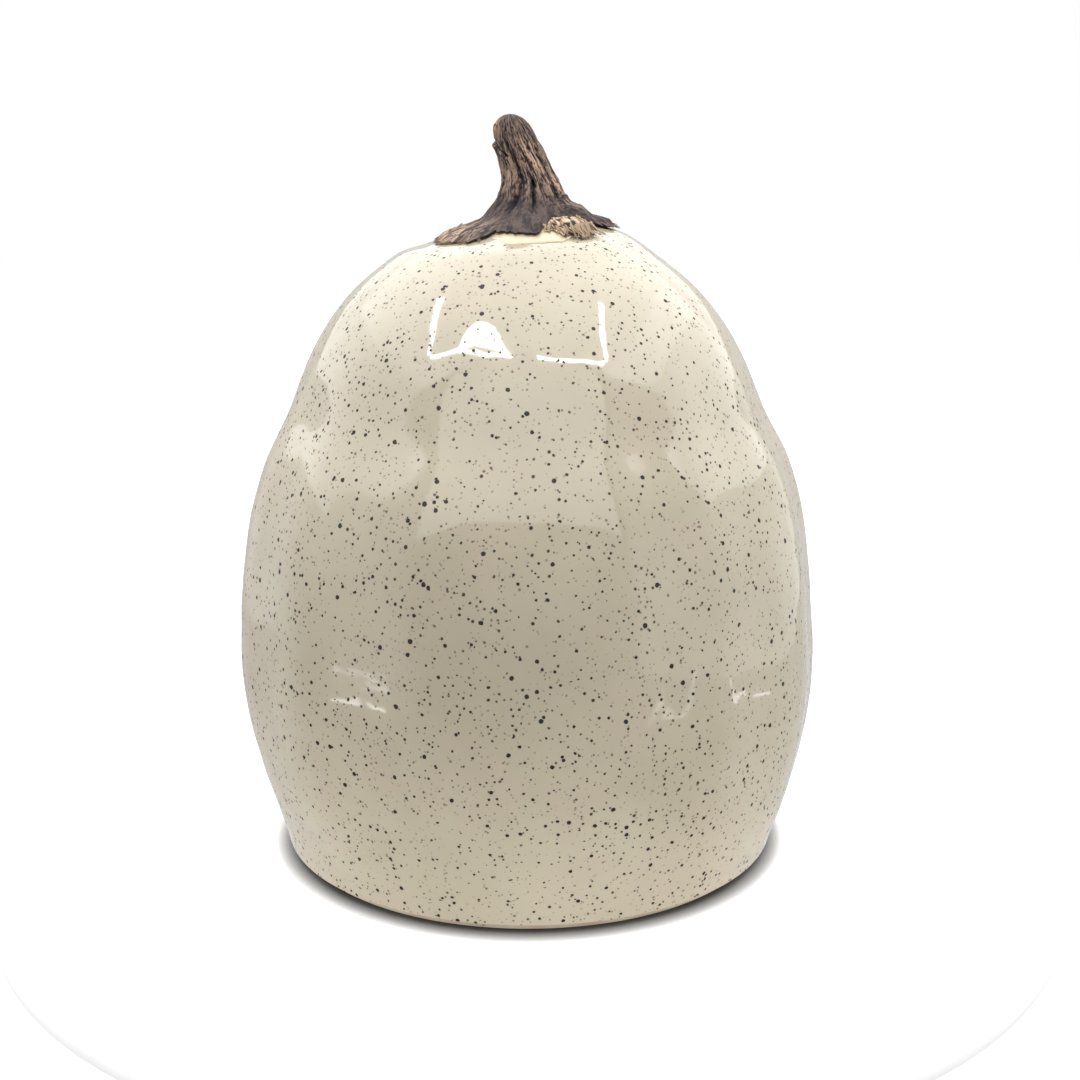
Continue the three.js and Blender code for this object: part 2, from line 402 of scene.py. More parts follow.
for i, (spacing, small, large, share, soft, clusters, strength, tint) in enumerate(glazeLook["specks"]):
    moved = addNode(tree, "ShaderNodeVectorMath", {0: place, 1: (31.0 * i, -17.0 * i, 9.0 * i)}).outputs[0]
    layer = useGroup(tree, specks, {
        "Place": moved, "Spacing": spacing, "Smallest": small, "Largest": large, "Share": share,
        "Softness": soft, "Clusters": clusters, "Ragged": 0.3})
    mask = layer.outputs["Mask"]
    lighterSpeck = mapValue(tree, layer.outputs["Tint"], 0.2, 0.9)
    speckColor = mixColor(tree, lighterSpeck, glazeLook["darkSpeck"], glazeLook[tint])
    color = mixColor(tree, mathNode(tree, "MULTIPLY", mask, strength), color, speckColor)
    broken = mask if i == 0 else mathNode(tree, "MAXIMUM", broken, mask)
roughness = mapValue(tree, broken, 0.2, 1.0, glazeLook["roughness"], glazeLook["speckRoughness"])
ripple = useGroup(tree, grain, {"Place": place, "Width": 3.5, "Roughness": 0.35}).outputs[0]
surface(tree, {"Base Color": color, "Roughness": roughness, "IOR": 1.57,
               "Normal": bumpFrom(tree, ripple, 0.05, 0.0006)})

# bare clay of the foot
clayLook = {
    "pale": (0.45, 0.385, 0.295, 1),
    "warm": (0.375, 0.295, 0.215, 1),
    "speck": (0.10, 0.06, 0.045, 1),
    "roughness": 0.82,
}
clayMaterial, tree = newMaterial("bareStoneware")
place = objectPlace(tree)
tone = useGroup(tree, clouds, {"Place": place, "Width": 9.0, "Contrast": 0.2}).outputs[0]
color = mixColor(tree, tone, clayLook["warm"], clayLook["pale"])
grit = useGroup(tree, specks, {
    "Place": place, "Spacing": 1.6, "Smallest": 0.14, "Largest": 0.36, "Share": 0.5, "Softness": 0.3})
color = mixColor(tree, mathNode(tree, "MULTIPLY", grit.outputs["Mask"], 0.85), color, clayLook["speck"])
tooth = useGroup(tree, grain, {"Place": place, "Width": 0.45}).outputs[0]
surface(tree, {"Base Color": color, "Roughness": clayLook["roughness"],
               "Normal": bumpFrom(tree, tooth, 0.6, 0.00012)})

glaze = meshPiece("glaze", glazeRings, closeRings=True, material=glazeMaterial)
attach(glaze, "root")
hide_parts("glaze_coat")
clay = meshPiece("pot", clayRings, firstPoint=(0, 0, potShape["footRecess"]),
                 lastPoint=(0, 0, potShape["floor"]), material=clayMaterial)
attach(clay, "root")
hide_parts("stoneware_body")
print("pot and glaze made")

# stem: a twisted, dried pumpkin stalk with a frayed, flaring foot
stemShape = {
    # height, sideways place and radius of the shaft's sections
    "shaft": [
        (150.6, 0.9, 8.0), (152.2, 0.7, 7.25), (154.0, 0.5, 6.55), (156.2, -0.2, 6.05), (158.4, -0.9, 5.65),
        (160.6, -1.9, 5.55), (162.7, -2.7, 5.05), (164.9, -3.3, 4.4), (166.4, -3.7, 3.7),
        (167.5, -3.95, 2.6), (168.15, -4.0, 1.3)],
    "tip": (-4.0, 0.0, 168.35),
    "seat": 1.95,  # height of its underside over the glaze, where it sits on the flesh
    # reach of the flare in each direction
    "flare": [
        (-180, 14.5), (-150, 20), (-118, 14), (-78, 20.5), (-55, 22.8), (-40, 22.6), (-30, 21.4), (-21, 19.2),
        (-14, 18.4), (-4, 20.4), (4, 20.8), (11, 18), (24, 13), (46, 13.5), (56, 17), (66, 19),
        (78, 19.6), (90, 19.4), (115, 14), (145, 19), (180, 14.5)],
    # direction, depth as a share of the radius, width in degrees, and the heights between which it runs
    "valleys": [
        (-24, 0.20, 5, 146, 168), (5, 0.10, 4, 143, 155), (46, 0.12, 6, 143, 164), (-66, 0.12, 7, 143, 161),
        (88, 0.15, 8, 143, 168), (124, 0.16, 9, 143, 168), (163, 0.15, 9, 143, 168),
        (-104, 0.15, 8, 143, 168), (-142, 0.17, 9, 143, 168), (24, 0.06, 4, 150, 166)],
    # cracks and holes: points of direction and height, half width, depth and how far the lower lip stands out
    "cracks": [
        ([(-94, 163.0), (-66, 161.7), (-40, 159.2)], 0.32, 1.3, 0.5),
        ([(5, 153.7), (7, 152.7)], 0.42, 1.5, 0),
        ([(0, 151.2), (3, 149.2), (1, 147.4)], 0.28, 0.9, 0),
        ([(20, 162.2), (24, 160.6)], 0.22, 0.8, 0),
        ([(42, 159.4), (52, 157.0)], 0.24, 0.8, 0),
        ([(50, 152.6), (53, 150.6), (55, 148.8)], 0.26, 0.9, 0),
        ([(-20, 155.2), (-16, 153.0), (-19, 151.2)], 0.24, 0.8, 0),
        ([(132, 163.0), (138, 160.0)], 0.3, 1.0, 0.2),
        ([(-160, 160.0), (-158, 157.2)], 0.3, 1.1, 0)],
    "fissures": 210,
    "columns": 340,
    "flareRows": 92,
    "shaftRows": 134,
    # where the bark is warmer: direction and its spread, height and its spread, amount
    "warmZones": [
        (22, 28, 158.5, 5.0, 1.15), (60, 26, 153.5, 4.5, 0.8), (-64, 30, 142.5, 3.0, 0.8),
        (-66, 30, 165.6, 3.2, 0.75), (-45, 9, 157.0, 6.0, 0.7), (150, 35, 156.0, 6.0, 0.8),
        (-140, 30, 148.0, 5.0, 0.7)],
    # frayed edges: from and to direction, strands, start inside the edge, reach past it,
    # lift at the root and at the end (least and most), thickness
    "frays": [
        (-98, -30, 46, 2.6, 1.0, (0.8, 1.3), (0.3, 0.55), 0.36),
        (60, 108, 34, 2.8, 1.1, (0.8, 1.5), (0.35, 0.9), 0.38),
        (-170, -120, 26, 2.4, 1.0, (0.8, 1.4), (0.35, 0.6), 0.36),
        (125, 172, 26, 2.4, 1.0, (0.8, 1.4), (0.35, 0.6), 0.36)],
}
# dry flesh where a flap has torn off, and the pale adhesive under everything
fleshShape = {
    "reach": [
        (-180, 7.5), (-60, 7.5), (-12, 10), (3, 15.5), (13, 20), (24, 21.6), (35, 22.6), (43, 21),
        (50, 16.5), (59, 12), (66, 11), (90, 9), (180, 7.5)],
    "crackRadius": 18.2,
    "rows": 44,
    "frays": [
        (25, 50, 30, 2.6, 0.9, (1.3, 2.0), (0.3, 0.55), 0.3),
        (6, 25, 14, 1.8, 0.6, (1.0, 1.5), (0.6, 0.9), 0.26)],
}
adhesiveShape = {
    "reach": [
        (-180, 12), (-60, 12.5), (-34, 16), (-22, 20.5), (-8, 23.2), (16, 23.3), (28, 21.4), (40, 20.2),
        (60, 16), (90, 12), (180, 12)],
    "rows": 26,
}


def valleyDepth(directions, z):
    depth = np.zeros(np.broadcast(directions, z).shape)
    for where, share, width, low, high in stemShape["valleys"]:
        drift = 3.0 * np.sin(z * 0.45 + where)
        off = wrapped(directions - where - drift) / width
        span = smooth(low - 1, low + 2, z) * (1 - smooth(high - 4, high + 1, z))
        depth = np.maximum(depth, share * span * np.exp(-np.abs(off) ** 1.6))
    return depth


def crackShape(directions, z, radius):
    # how deep the cracks cut, and how far their lower lips stand out
    cut = np.zeros(z.shape)
    lip = np.zeros(z.shape)
    for path, halfWidth, deep, stands in stemShape["cracks"]:
        for (d0, z0), (d1, z1) in zip(path[:-1], path[1:]):
            ax = np.radians(wrapped(directions - d0)) * radius
            bx = math.radians(d1 - d0) * radius
            az, bz = z - z0, z1 - z0
            t = np.clip((ax * bx + az * bz) / (bx * bx + bz * bz), 0, 1)
            away = np.hypot(ax - t * bx, az - t * bz)
            cut = np.maximum(cut, deep * np.exp(-(away / halfWidth) ** 2))
            below = np.hypot(ax - t * bx + 0.2, az - t * bz + 0.85)
            lip = np.maximum(lip, stands * np.exp(-(below / 0.62) ** 2))
    return cut, lip


directions, side, front = ringPoints(stemShape["columns"])
neckHeight, neckX, neckRadius = stemShape["shaft"][0]
reach = alongRing(stemShape["flare"], directions)
ragged = np.array([noise.noise(Vector((d * 0.11, 3.1, 0))) + 0.7 * noise.noise(Vector((d * 0.33, 8.2, 0)))
                   + 0.6 * noise.noise(Vector((d * 0.9, 5.5, 0))) for d in directions])
torn = np.array([noise.noise(Vector((d * 1.3, 1.7, 4))) for d in directions])
reach = reach * (1 + 0.055 * ragged) + 0.75 * torn
fleshEdge = alongRing(fleshShape["reach"], directions)


def undersideAt(r, edge):
    # the flaps hang down to the glaze, or in front to the adhesive
    overAdhesive = 1 - smooth(34, 52, np.abs(directions - 12))
    low = 0.36 + 0.4 * overAdhesive
    hang = smooth(np.minimum(edge + 1.0, reach - 4), np.minimum(edge + 4.6, reach), r)
    return low + (stemShape["seat"] - low) * (1 - hang)


underside = []
undersideRows = 11
for i in range(1, undersideRows + 1):
    r = reach * i / undersideRows
    x, y = r * side, r * front
    underside.append(np.stack([x, y, crownHeight(x, y) + undersideAt(r, fleshEdge)], axis=-1))
flareTop = []
rise = neckHeight - crownHeight(0, neckRadius) - 2.65
for i in range(stemShape["flareRows"]):
    t = i / stemShape["flareRows"]
    r = neckRadius + (reach - neckRadius) * (1 - t) ** 1.55
    x, y = r * side + neckX * t, r * front
    skin = 0.3 + 0.5 * smooth(0.0, 0.1, t) + rise * np.exp((neckRadius - r) / 1.1) - 0.1 * smooth(0.1, 0.5, t)
    rightFlap = np.exp(-((directions - 84) / 22) ** 2)  # thicker than the others
    skin = skin + 0.85 * rightFlap * smooth(0.0, 0.12, t) * (1 - smooth(0.5, 0.9, t))
    flareTop.append(np.stack([x, y, crownHeight(x, y) + undersideAt(r, fleshEdge) + skin], axis=-1))
shaft = splineThrough(stemShape["shaft"], stemShape["shaftRows"])
shaftTop = [np.stack([c + r * side, r * front, np.full_like(side, h)], axis=-1) for h, c, r in shaft]
upper = np.array(flareTop + shaftTop)

# valleys, cracks, fibres and pits pressed into the upper skin
height = upper[..., 2]
centreX = np.interp(height, shaft[:, 0], shaft[:, 1], left=neckX * 0.5)
out = np.stack([upper[..., 0] - centreX, upper[..., 1]], axis=-1)
radius = np.linalg.norm(out, axis=-1)
allDirections = np.broadcast_to(directions, height.shape)
depth = valleyDepth(directions[None, :], height)
cut, lip = crackShape(allDirections, height, np.minimum(radius, 8.0))
along = np.concatenate([[0], np.cumsum(np.linalg.norm(np.diff(upper, axis=0), axis=2).mean(axis=1))])
fibrePlace = np.stack(np.broadcast_arrays(
    side[None, :] * 6.0 + 0.05 * along[:, None], front[None, :] * 6.0, along[:, None] * 0.10), axis=-1)
fibrePlace = fibrePlace.reshape(-1, 3)
fibres = noiseAt(fibrePlace, 0.6, 4).reshape(height.shape)
fineFibres = noiseAt(fibrePlace * (1, 1, 1.8), 0.24, 5).reshape(height.shape)
lumps = noiseAt(upper.reshape(-1, 3), 2.6, 6).reshape(height.shape)
pits = smooth(0.40, 0.62, noiseAt(upper.reshape(-1, 3) * (1.6, 1.6, 0.7), 0.7, 7).reshape(height.shape))
fissures = np.zeros(height.shape)
for i in range(stemShape["fissures"]):  # narrow splits that follow the fibres
    where = random.uniform(-180, 180)
    middle = random.uniform(2, along[-1] - 3)
    reachAlong = random.uniform(0.8, 3.6)
    halfWidth = random.uniform(0.07, 0.16)
    drift = 2.2 * np.sin(along * 0.5 + i)[:, None]
    off = np.radians(wrapped(directions[None, :] - where - drift)) * np.minimum(radius, 11.0) / halfWidth
    span = np.exp(-((along - middle) / reachAlong) ** 4)[:, None]
    fissures = np.maximum(fissures, random.uniform(0.35, 1.0) * span * np.exp(-off * off))
inward = (depth * np.minimum(radius, 9.0) + cut - lip + 0.2 * fibres + 0.14 * fineFibres - 0.34 * lumps
          + 0.3 * pits + 0.42 * fissures)
row = np.arange(len(upper))[:, None]
fade = smooth(0.0, 0.06, row / len(upper)) * (1 - 0.5 * smooth(166.5, 168.2, height))
onFlare = row < stemShape["flareRows"]
tilt = np.where(onFlare, smooth(neckRadius + 7, neckRadius, radius), 1.0)
inward = inward * fade
upper[..., 0] -= out[..., 0] / radius * inward * tilt
upper[..., 1] -= out[..., 1] / radius * inward * tilt
upper[..., 2] -= inward * (1 - tilt) * 0.55
# painted shade: darker by how deep the valleys, cracks, pits, fissures and fibre grooves cut
shadeAndStains = np.clip(depth * 3.6 + 0.3 * fibres + 0.35 * fineFibres + 0.9 * pits + cut + 0.95 * fissures, -1, 1.5)
ridge = np.clip(0.5 - 0.9 * fibres - 0.8 * fineFibres, 0, 1)
warmth = 0.05 + 0.42 * smooth(148.5, 153.0, height) - 0.18 * smooth(161.0, 164.5, height)
for where, spread, level, levelSpread, amount in stemShape["warmZones"]:
    zone = np.exp(-(wrapped(allDirections - where) / spread) ** 2 - ((height - level) / levelSpread) ** 2)
    warmth = np.maximum(warmth, amount * zone)


def strand(direction, fromRadius, toRadius, fromLift, toLift, thick, sway):
    # one loose fibre lying outwards over the crown, thin at its end
    tube = []
    steps = 9
    for i in range(steps):
        t = i / (steps - 1)
        turn = math.radians(direction + sway * t * t)
        r = fromRadius + (toRadius - fromRadius) * t
        width = thick * (1 - 0.75 * t)
        x, y = r * math.sin(turn), -r * math.cos(turn)
        z = float(crownHeight(x, y)) + fromLift + (toLift - fromLift) * t ** 0.7
        ring = []
        for k in range(6):
            a = math.radians(60) * k
            sideways = width * math.cos(a)
            ring.append((x + math.cos(turn) * sideways, y + math.sin(turn) * sideways,
                         z + 0.7 * width * math.sin(a)))
        tube.append(ring[::-1])
    return np.array(tube)


inOrder = np.argsort(directions)


def frayed(frays, edge):
    # rows of strands along parts of an edge
    tubes = []
    for fromDirection, toDirection, count, startIn, startOut, rootLift, endLift, thick in frays:
        for i in range(count):
            where = fromDirection + (toDirection - fromDirection) * (i + random.uniform(0.1, 0.9)) / count
            r = float(np.interp(where, directions[inOrder], edge[inOrder]))
            tubes.append(strand(
                where, r - startIn, r + random.uniform(0.3, 1.0) * startOut, random.uniform(*rootLift),
                random.uniform(*endLift), thick * random.uniform(0.7, 1.3), random.uniform(-5, 5)))
    return tubes


print("stem surface shaped")
stemTubes = frayed(stemShape["frays"], reach)
rings = np.concatenate([np.array(underside), upper])
plain = np.zeros((undersideRows, len(side)))
# each mark has its values on the skin and one value for the strands; the underside's 0.6 is painted shade
# under the flaps
marks = {"shadeAndStains": (np.concatenate([plain + 0.6, shadeAndStains]), 0.1),
         "ridge": (np.concatenate([plain, ridge]), 0.6),
         "warmth": (np.concatenate([plain, warmth]), 0.4)}
for axis, label in enumerate(("fibreX", "fibreY", "fibreZ")):  # place along and across the fibres
    marks[label] = (np.concatenate([plain, fibrePlace[:, axis].reshape(height.shape)]), 0.0)

stemLook = {
    "bark": (0.09, 0.054, 0.048, 1),
    "dusky": (0.027, 0.017, 0.022, 1),
    "tan": (0.57, 0.40, 0.27, 1),
    # colour of the painted shade in grooves and recesses
    "creviceShade": (0.010, 0.006, 0.007, 1),
    "roughness": 0.8,
}
stemMaterial, tree = newMaterial("driedStemBark")
place = objectPlace(tree)
readMark = {label: addNode(tree, "ShaderNodeAttribute", attribute_name=label).outputs["Fac"]
            for label in marks}
alongFibres = addNode(tree, "ShaderNodeCombineXYZ", {
    0: readMark["fibreX"], 1: readMark["fibreY"], 2: readMark["fibreZ"]}).outputs[0]
shorter = addNode(tree, "ShaderNodeVectorMath", {
    0: alongFibres, 1: (1.0, 1.0, 2.6)}, operation="MULTIPLY").outputs[0]
streaks = useGroup(tree, clouds, {
    "Place": alongFibres, "Width": 0.6, "Detail": 5.0, "Contrast": 0.12}).outputs[0]
flecks = useGroup(tree, clouds, {"Place": shorter, "Width": 0.3, "Detail": 4.0, "Contrast": 0.12}).outputs[0]
patches = useGroup(tree, clouds, {"Place": place, "Width": 3.0, "Detail": 4.0, "Contrast": 0.12}).outputs[0]
lighter = mathNode(tree, "MULTIPLY_ADD", readMark["warmth"], 1.4, 0.3)
lighter = mathNode(tree, "MULTIPLY", patches, lighter, clamp=True)
color = mixColor(tree, lighter, stemLook["dusky"], stemLook["bark"])
ridged = mathNode(tree, "MULTIPLY_ADD", streaks, 0.36, mathNode(tree, "MULTIPLY", readMark["ridge"], 0.44))
ridged = mathNode(tree, "MULTIPLY_ADD", flecks, 0.34, ridged)
warm = mathNode(tree, "MULTIPLY_ADD", readMark["warmth"], 1.1, 0.03)
warm = mathNode(tree, "MULTIPLY", mapValue(tree, ridged, 0.36, 0.82), warm, clamp=True)
color = mixColor(tree, warm, color, stemLook["tan"])
# painted shade in the grooves between raised fibres and in the recesses, with random dark streaks, in the
# crevice colour
darkStreaksAndShade = mathNode(tree, "MULTIPLY", mapValue(tree, ridged, 0.62, 0.16), 0.6)
darkStreaksAndShade = mathNode(tree, "MAXIMUM", darkStreaksAndShade, mapValue(tree, readMark["shadeAndStains"], 0.3, 1.05))
color = mixColor(tree, darkStreaksAndShade, color, stemLook["creviceShade"])
roughGrain = useGroup(tree, grain, {"Place": shorter, "Width": 0.2}).outputs[0]
surface(tree, {"Base Color": color, "Roughness": stemLook["roughness"], "Specular IOR Level": 0.35,
               "Normal": bumpFrom(tree, roughGrain, 1.0, 0.0004)})
stemSeat = (0, 0, float(crownHeight(0, 0)) + stemShape["seat"])
stem = meshPiece("stem", rings, firstPoint=stemSeat, lastPoint=stemShape["tip"], material=stemMaterial,
                 marks=marks, tubes=stemTubes)
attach(stem, "root")
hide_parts("dried_stem")
print("stem made")


def layerRings(reach, rows, below, above):
    # closed pad on the crown; below and above give its faces over the glaze
    rings = []
    for i in range(1, rows + 1):
        r = reach * i / rows
        x, y = r * side, r * front
        rings.append(np.stack([x, y, crownHeight(x, y) + below(r, i / rows)], axis=-1))
    for i in range(rows, 0, -1):
        r = reach * i / rows
        x, y = r * side, r * front
        rings.append(np.stack([x, y, crownHeight(x, y) + above(r, i / rows)], axis=-1))
    return np.array(rings)


adhesiveReach = alongRing(adhesiveShape["reach"], directions) * (1 + 0.012 * ragged)
adhesiveRings = layerRings(
    adhesiveReach, adhesiveShape["rows"], lambda r, share: 0.04,
    lambda r, share: 0.06 + 0.62 * (1 - smooth(0.72, 1.0, share)))
fleshRows = fleshShape["rows"]
fleshReach = fleshEdge * (1 + 0.055 * ragged + 0.07 * torn)
bare = 1 - smooth(11, 26, np.abs(directions - 24))


def fleshTop(r, share):
    lift = 1.25 + 0.35 * bare * smooth(reach + 0.4, reach + 1.6, r) * (1 - smooth(0.72, 0.95, share))
    crackAt = fleshShape["crackRadius"] + 0.5 * ragged
    return lift - 0.6 * smooth(0.72, 1.0, share) - 0.8 * bare * np.exp(-((r - crackAt) / 0.26) ** 2)


fleshRings = layerRings(fleshReach, fleshRows, lambda r, share: 0.74 - 0.2 * smooth(0.85, 1, share), fleshTop)
flat = fleshRings.reshape(-1, 3)
turned = np.arctan2(flat[:, 0], -flat[:, 1]) * 15
outwards = np.hypot(flat[:, 0], flat[:, 1]) * 0.13
fleshFibres = noiseAt(np.stack([turned, outwards, 0 * turned], axis=1), 0.42, 8)
fleshLumps = noiseAt(flat, 1.5, 9)
rough = (0.3 * fleshFibres + 0.22 * fleshLumps).reshape(fleshRings.shape[:2])
outside = smooth(10, 15, np.hypot(fleshRings[..., 0], fleshRings[..., 1]))
fleshRings[fleshRows:, :, 2] += (rough * outside)[fleshRows:]
fleshRadius = np.hypot(fleshRings[..., 0], fleshRings[..., 1])
fleshCrack = np.exp(-((fleshRadius - fleshShape["crackRadius"] - 0.5 * ragged) / 0.3) ** 2)
stains = smooth(0.1, 0.4, noiseAt(flat * (1, 1, 0.2), 1.5, 11)).reshape(rough.shape)
# painted shade in the crack and the low places of the rough top, plus stains
fleshShadeAndStains = fleshCrack + 0.8 * np.clip(-2.6 * rough, 0, 1) + 0.8 * stains
fleshTubes = frayed(fleshShape["frays"], fleshReach)

adhesiveLook = {"thin": (0.60, 0.50, 0.34, 1), "thick": (0.68, 0.585, 0.42, 1), "roughness": 0.28}
adhesiveMaterial, tree = newMaterial("curedAdhesive")
place = objectPlace(tree)
tone = useGroup(tree, clouds, {"Place": place, "Width": 3.0, "Contrast": 0.2}).outputs[0]
color = mixColor(tree, tone, adhesiveLook["thin"], adhesiveLook["thick"])
ripple = useGroup(tree, grain, {"Place": place, "Width": 1.4, "Roughness": 0.4}).outputs[0]
surface(tree, {"Base Color": color, "Roughness": adhesiveLook["roughness"],
               "Normal": bumpFrom(tree, ripple, 0.4, 0.0004)})

fleshLook = {
    "pale": (0.70, 0.56, 0.38, 1),
    "brown": (0.20, 0.12, 0.068, 1),
    # colour of the painted shade and of the stains
    "dark": (0.03, 0.018, 0.013, 1),
    "roughness": 0.85,
}
fleshMaterial, tree = newMaterial("driedFlesh")
place = objectPlace(tree)
fleshPlace = addNode(tree, "ShaderNodeCombineXYZ", {
    axis: addNode(tree, "ShaderNodeAttribute", attribute_name=label).outputs["Fac"]
    for axis, label in enumerate(("fibreX", "fibreY"))}).outputs[0]
tone = useGroup(tree, clouds, {"Place": fleshPlace, "Width": 0.5, "Detail": 4.0, "Contrast": 0.14}).outputs[0]
color = mixColor(tree, tone, fleshLook["brown"], fleshLook["pale"])
shadeAndStainMark = addNode(tree, "ShaderNodeAttribute", attribute_name="shadeAndStains").outputs["Fac"]
# darkened by painted shade in the crack and hollows, and by stains
color = mixColor(tree, mapValue(tree, shadeAndStainMark, 0.1, 0.75), color, fleshLook["dark"])
fleshGrain = useGroup(tree, grain, {"Place": place, "Width": 0.3}).outputs[0]
surface(tree, {"Base Color": color, "Roughness": fleshLook["roughness"], "Specular IOR Level": 0.3,
               "Normal": bumpFrom(tree, fleshGrain, 0.8, 0.0002)})
adhesive = meshPiece("adhesive", adhesiveRings, firstPoint=(0, 0, 146.24), lastPoint=(0, 0, 146.88),
                     material=adhesiveMaterial)
fleshMarks = {"shadeAndStains": (fleshShadeAndStains, 0.0), "fibreX": (turned, 0.3), "fibreY": (outwards, 0.2)}
flesh = meshPiece("flesh", fleshRings, firstPoint=(0, 0, 146.94), lastPoint=(0, 0, 147.75),
                  material=fleshMaterial, marks=fleshMarks, tubes=fleshTubes)
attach(adhesive, "root")
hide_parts("stem_adhesive")
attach(flesh, "root")
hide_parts("stem_flesh")
print("flesh and adhesive made")

cameraLook = {"lens": 51.97, "sensor": 36, "place": (0, -0.3578, 0.1533), "lookDown": 12.88, "turn": -0.415}
cameraData = bpy.data.cameras.new("camera")
cameraData.lens = cameraLook["lens"]
cameraData.sensor_width = cameraLook["sensor"]
camera = bpy.data.objects.new("camera", cameraData)
camera.location = cameraLook["place"]
camera.rotation_euler = (math.radians(90 - cameraLook["lookDown"]), 0, math.radians(cameraLook["turn"]))
bpy.context.scene.collection.objects.link(camera)
bpy.context.scene.camera = camera
bpy.context.scene.view_settings.view_transform = "Standard"


def stageItem(name, points, faces, material):
    mesh = bpy.data.meshes.new(name)
    mesh.from_pydata(points, [], faces)
    mesh.materials.append(material)
    item = bpy.data.objects.new(name, mesh)
    bpy.context.scene.collection.objects.link(item)
    return item


def plainMesh(name, points, faces, color, glow=0.0, contactShadowPower=1.0, alone=False):
    # glows evenly so it shows white, with a painted contact shadow: colour and glow get darker where
    # something stands on it
    material, tree = newMaterial(name + "Paint")
    near, wide = [addNode(tree, "ShaderNodeAmbientOcclusion", {"Distance": distance}, samples=8,
                          only_local=alone).outputs["AO"] for distance in (0.0045, 0.05)]
    near = mathNode(tree, "POWER", near, contactShadowPower)
    paintedShadowFactor = mathNode(tree, "MULTIPLY", near, mathNode(tree, "POWER", wide, 0.22))
    # the painted shadow is for camera rays only; other rays see the full colour and glow
    seen = addNode(tree, "ShaderNodeLightPath").outputs["Is Camera Ray"]
    paintedShadowFactor = mathNode(tree, "MAXIMUM", paintedShadowFactor, mathNode(tree, "SUBTRACT", 1.0, seen))
    surface(tree, {
        "Base Color": mixColor(tree, paintedShadowFactor, (0, 0, 0, 1), (*color, 1)), "Roughness": 0.6,
        "Emission Color": (1, 1, 1, 1), "Emission Strength": mathNode(tree, "MULTIPLY", paintedShadowFactor, glow)})
    return stageItem(name, points, faces, material)


def lightSheet(name, points, faces, radiance):
    # bright shape that only shows in the glaze
    material, tree = newMaterial(name + "Glow")
    surface(tree, {"Color": (1, 1, 1, 1), "Strength": radiance}, "ShaderNodeEmission")
    item = stageItem(name, points, faces, material)
    item.visible_camera = False
    item.visible_diffuse = False
    item.visible_shadow = False


def ribbonLight(name, path, width, radiance):
    # narrow bright strip along a path, facing the pot
    path = [Vector(point) for point in path]
    points = []
    for i, point in enumerate(path):
        run = path[min(i + 1, len(path) - 1)] - path[max(i - 1, 0)]
        across = run.cross(Vector((0, 0, 0.1)) - point).normalized() * width / 2
        points += [point - across, point + across]
    faces = [(2 * i, 2 * i + 1, 2 * i + 3, 2 * i + 2) for i in range(len(path) - 1)]
    lightSheet(name, points, faces, radiance)


def roundTable(direction, z):
    # place beside the pot, by its direction from the front and its height
    turn, radius = math.radians(direction), 0.35
    return (radius * math.sin(turn), -radius * math.cos(turn), z)


def panelLight(name, where, lookAt, width, depth, radiance, only=None):
    data = bpy.data.lights.new(name, "AREA")
    data.shape = "RECTANGLE"
    data.size, data.size_y = width, depth
    data.energy = radiance * 4 * width * depth
    light = bpy.data.objects.new(name, data)
    light.location = where
    aim = Vector(lookAt) - Vector(where)
    light.rotation_euler = aim.to_track_quat("-Z", "Y").to_euler()
    bpy.context.scene.collection.objects.link(light)
    light.visible_camera = False
    light.visible_diffuse = only != "glossy"
    light.visible_glossy = only != "diffuse"


# strengths of the walls, panels and bright shapes
lightLook = {
    "wallsFront": 0.25, "wallsBack": 0.7, "ceiling": 0.66, "ceilingSheen": 0.95,
    "edges": 30.0, "patch": 18.0, "glints": 6.5, "frontStrip": 26.0, "sideStrips": 28.0,
    "frontWall": 0.18, "frontSheen": 1.1, "frontFill": 0.36, "leftWall": 0.3, "rightWall": 0.5,
    "tableGlow": 0.6, "sideGlow": 0.8, "floorGlow": 1.0,
}
tableShape = {"radius": 0.125, "thickness": 0.008, "footInset": 0.003, "footHeight": 0.0007, "steps": 144}
floor = -tableShape["thickness"] - tableShape["footHeight"]
floorSheet = plainMesh("floor", [(-3, -3, floor), (3, -3, floor), (3, 3, floor), (-3, 3, floor)],
                       [(0, 1, 2, 3)], (0.75, 0.75, 0.75), glow=lightLook["floorGlow"], alone=True)
steps = tableShape["steps"]
turns = [math.radians(a * 360 / steps) for a in range(steps)]
footRadius = tableShape["radius"] - tableShape["footInset"]
tableEdge = [(tableShape["radius"], 0.0), (tableShape["radius"], -tableShape["thickness"]),
             (footRadius, -tableShape["thickness"]), (footRadius, floor)]
tableRings = [(r * math.cos(a), r * math.sin(a), z) for r, z in tableEdge for a in turns]
tableFaces = []
for i in range(0, steps * (len(tableEdge) - 1), steps):
    tableFaces += [(i + j, i + steps + j, i + steps + (j + 1) % steps, i + (j + 1) % steps)
                   for j in range(steps)]
# turntable top with a strong painted contact shadow round the foot; its side with a weak one
table = plainMesh("turntable", tableRings[:steps], [tuple(range(steps))], (0.7, 0.7, 0.7),
                  glow=lightLook["tableGlow"], contactShadowPower=2.0)
tableSide = plainMesh("turntableSide", tableRings, tableFaces, (0.7, 0.7, 0.7), glow=lightLook["sideGlow"],
                      contactShadowPower=0.5)
floorSheet.visible_diffuse = False
for item in (floorSheet, table, tableSide):
    item.visible_glossy = False

